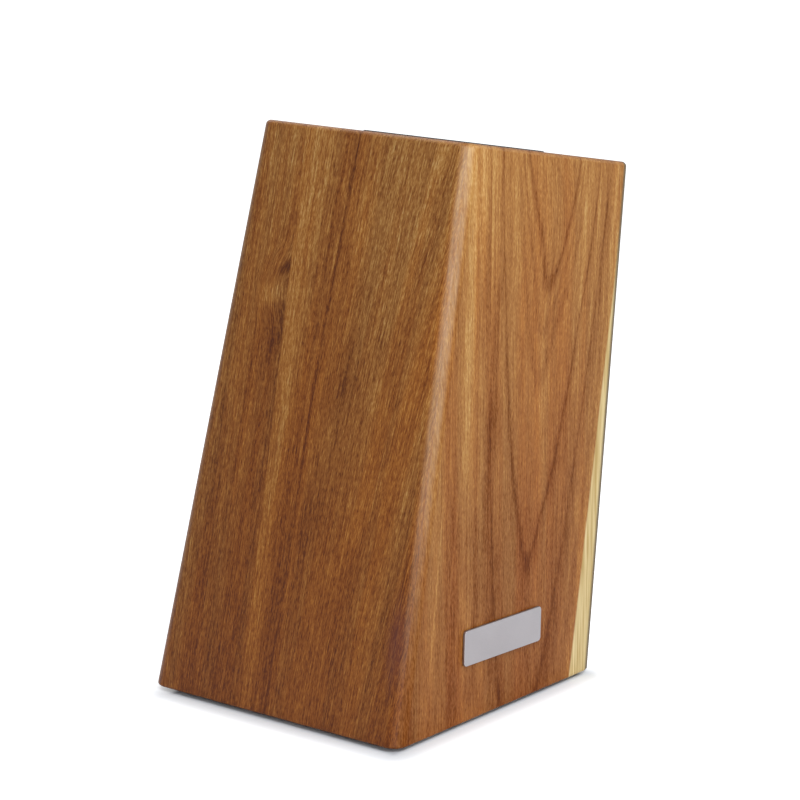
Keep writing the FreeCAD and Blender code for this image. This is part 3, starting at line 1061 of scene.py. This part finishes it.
@dataclass
class Fittings:
    """Name plate, its tape, the feet and the base board's screws."""

    steel: BlastedSteel = field(default_factory=BlastedSteel)
    zinc: BlastedSteel = BlastedSteel(colour="#a9acb0", roughness=0.32, grit=0.2)
    rubber: SoftBlack = SoftBlack("#121212", "#1f1f1f", 0.75, 0.4)
    tape: SoftBlack = SoftBlack("#0e0e0e", "#1a1a1a", 0.85, 0.6)

    def dress(self) -> None:
        """Give each fitting its finish."""
        dress("name_plate", self.steel.material("blasted_stainless_steel"))
        dress("plate_adhesive", self.tape.material("black_foam_tape"))
        dress("base_screws", self.zinc.material("zinc_plated_steel"))
        rubber = self.rubber.material("moulded_black_rubber")
        for node in sorted(bpy.data.objects.keys()):
            if node.startswith("rubber_foot_"):
                dress(node, rubber)


@dataclass
class Insert:
    """The black insert that lifts out: case, rim and dividers."""

    plastic: MouldedPlastic = field(default_factory=MouldedPlastic)

    def dress(self) -> None:
        """Give every part of the insert the same moulded plastic."""
        black = self.plastic.material("moulded_black_abs")
        for node in sorted(bpy.data.objects.keys()):
            if node.startswith("insert_"):
                dress(node, black)


# ---- studio


@dataclass(frozen=True)
class SoftBox:
    """A lamp with a white cloth front, aimed at the object's middle.

    Its azimuth and elevation are in degrees, as in direction(), and its sizes in metres.
    """

    lamp: Lamp
    azimuth: float
    elevation: float
    distance: float
    width: float
    height: float
    watts: float


def direction(azimuth: float, elevation: float) -> Vector:
    """Return the way from the object to a viewer.

    Args:
        azimuth: degrees round the object; 0 stands in front of the plate side.
        elevation: degrees above the horizon.

    Returns:
        A unit vector.
    """
    a, e = math.radians(azimuth), math.radians(elevation)
    return Vector((math.sin(a) * math.cos(e), -math.cos(a) * math.cos(e), math.sin(e)))


@dataclass
class Studio:
    """White floor, soft lamps, pale surroundings and the camera.

    Aim, footprint and distances are in metres, angles in degrees as in direction(), and lens
    and sensor in millimetres. The floor's glow is given against the distance from the
    footprint in millimetres; it is low next to the object, which paints a shadow there on top of
    the real one. Its paper is slightly blue, because the wood's bounce is warm.
    """

    aim: Vector
    footprint: tuple[Vector, Vector]
    camera_azimuth: float = -51.34
    camera_elevation: float = 13.46
    camera_distance: float = 1.2181
    lens: float = 138.0
    sensor: float = 36.0
    floor_size: float = 6.0
    floor_colour: str = "#dce2e9"
    floor_roughness: float = 0.9
    # The floor's own white, low next to the footprint: a painted shadow on top of the real one.
    glow_and_painted_shadow: tuple[tuple[float, float], ...] = (
        (0.0, 0.0), (2.5, 0.24), (6.0, 0.37), (12.0, 0.72), (16.0, 0.93), (30.0, 1.0),
    )
    ambient: float = 0.20
    boxes: tuple[SoftBox, ...] = (
        SoftBox(Lamp.KEY, -8.0, 50.0, 0.75, 0.5, 0.5, 3.0),
        SoftBox(Lamp.FRONT, -37.0, 10.0, 1.3, 0.5, 0.55, 6.0),
        SoftBox(Lamp.BACK, 160.0, 45.0, 1.4, 0.8, 0.8, 5.0),
    )

    def build(self) -> None:
        """Make the floor, the surroundings, the lamps and the camera."""
        self._floor()
        self._surroundings()
        for box in self.boxes:
            self._lamp(box)
        self._camera()

    def _floor(self) -> None:
        """Make the white floor, which shows its own white, with a painted shadow next to the
        object on top of the real one.
        """
        shape = bmesh.new()
        bmesh.ops.create_grid(shape, x_segments=1, y_segments=1, size=self.floor_size / 2)
        mesh = bpy.data.meshes.new("floor")
        shape.to_mesh(mesh)
        shape.free()
        floor = bpy.data.objects.new("floor", mesh)
        bpy.context.scene.collection.objects.link(floor)
        made = bpy.data.materials.new("white_paper")
        g = Graph(made)
        glow = g.math("MULTIPLY", self._seen(g), self._glow_with_painted_shadow(g))
        shader = g.add("BsdfPrincipled", {
            "Base Color": srgb(self.floor_colour), "Roughness": self.floor_roughness,
            "Specular IOR Level": 0.0,
            "Emission Color": (1.0, 1.0, 1.0, 1.0), "Emission Strength": glow,
        })
        g.add("OutputMaterial", {0: shader})
        mesh.materials.append(made)
        floor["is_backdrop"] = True
        log.info("floor")

    def _glow_with_painted_shadow(self, g: Graph) -> bpy.types.NodeSocket:
        """Work out how much of its own white the floor shows: low next to the object, which
        paints a shadow there, and rising away from it.

        Args:
            g: the floor material's nodes.

        Returns:
            The glow, from 0 to 1.
        """
        low, high = self.footprint
        here = g.add("TexCoord", output="Object")
        offset = g.add("VectorMath", {0: here, 1: (low + high) / 2}, operation="SUBTRACT")
        offset = g.add("VectorMath", {0: offset}, operation="ABSOLUTE")
        offset = g.add("VectorMath", {0: offset, 1: (high - low) / 2}, operation="SUBTRACT")
        offset = g.add("VectorMath", {0: offset, 1: (0.0, 0.0, 0.0)}, operation="MAXIMUM")
        away = g.add("VectorMath", {0: offset}, output="Value", operation="LENGTH")
        reach = self.glow_and_painted_shadow[-1][0]
        turn = g.add("MapRange", {0: away, 1: 0.0, 2: reach * MM})
        return ramp_stops(g.add("ValToRGB", {0: turn}),
                          [(distance / reach, level) for distance, level in self.glow_and_painted_shadow])

    def _seen(self, g: Graph) -> bpy.types.NodeSocket:
        """Tell rays that see a surface from rays that only light it.

        Args:
            g: the nodes of the floor's material or of the world.

        Returns:
            1 for rays from the camera, a reflection or clear glass, and 0 for light.
        """
        rays = g.add("LightPath").node.outputs
        either = g.math("MAXIMUM", rays["Is Camera Ray"], rays["Is Glossy Ray"])
        return g.math("MAXIMUM", either, rays["Is Transmission Ray"])

    def _surroundings(self) -> None:
        """Make the world: white where it is seen, a softer grey where it lights."""
        world = bpy.data.worlds.new("studio")
        bpy.context.scene.world = world
        g = Graph(world)
        level = g.add("MapRange", {0: self._seen(g), 3: self.ambient, 4: 1.0})
        backdrop = g.add("Background", {"Color": (1.0, 1.0, 1.0, 1.0), "Strength": level})
        g.add("OutputWorld", {0: backdrop})

    def _lamp(self, box: SoftBox) -> None:
        """Make one soft lamp.

        Args:
            box: its place, size and power.
        """
        data = bpy.data.lights.new(box.lamp.value, "AREA")
        data.shape = "RECTANGLE"
        data.size = box.width
        data.size_y = box.height
        data.energy = box.watts
        lamp = bpy.data.objects.new(box.lamp.value, data)
        away = direction(box.azimuth, box.elevation)
        lamp.location = self.aim + away * box.distance
        lamp.rotation_euler = away.to_track_quat("Z", "Y").to_euler()
        bpy.context.scene.collection.objects.link(lamp)
        log.info("lamp %s", box.lamp.value)

    def _camera(self) -> None:
        """Make the camera and set it as the scene's own."""
        data = bpy.data.cameras.new("camera")
        data.lens = self.lens
        data.sensor_width = self.sensor
        camera = bpy.data.objects.new("camera", data)
        away = direction(self.camera_azimuth, self.camera_elevation)
        camera.location = self.aim + away * self.camera_distance
        camera.rotation_euler = away.to_track_quat("Z", "Y").to_euler()
        bpy.context.scene.collection.objects.link(camera)
        bpy.context.scene.camera = camera
        bpy.context.scene.view_settings.view_transform = "Standard"
        log.info("camera")


def main() -> None:
    """Load the frame, dress every piece, and build the studio from the measured boxes."""
    logging.basicConfig(level=logging.INFO, format="%(name)s: %(message)s")
    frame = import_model()
    cad_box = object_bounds()
    axis = Vector(frame["joints"][0]["axis"])
    WoodShell(knife_axis=axis).dress()
    Fittings().dress()
    Insert().dress()
    # The box round which the floor's glow paints its shadow.
    near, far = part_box(Board.LEAN_WIDE.value)[0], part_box(Board.FAR_SIDE.value)[1]
    foot = Vector((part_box(Board.BASE.value)[1].x + PAINTED_SHADOW_PAST_BASE * MM,
                   far.y - PAINTED_SHADOW_SHORT_OF_FAR_SIDE * MM, 0.0))
    middle = (cad_box[0] + cad_box[1]) / 2
    Studio(aim=middle + Vector(AIM_OFFSET) * MM,
           footprint=(Vector((near.x, near.y, 0.0)), foot)).build()


if __name__ == "__main__":
    main()
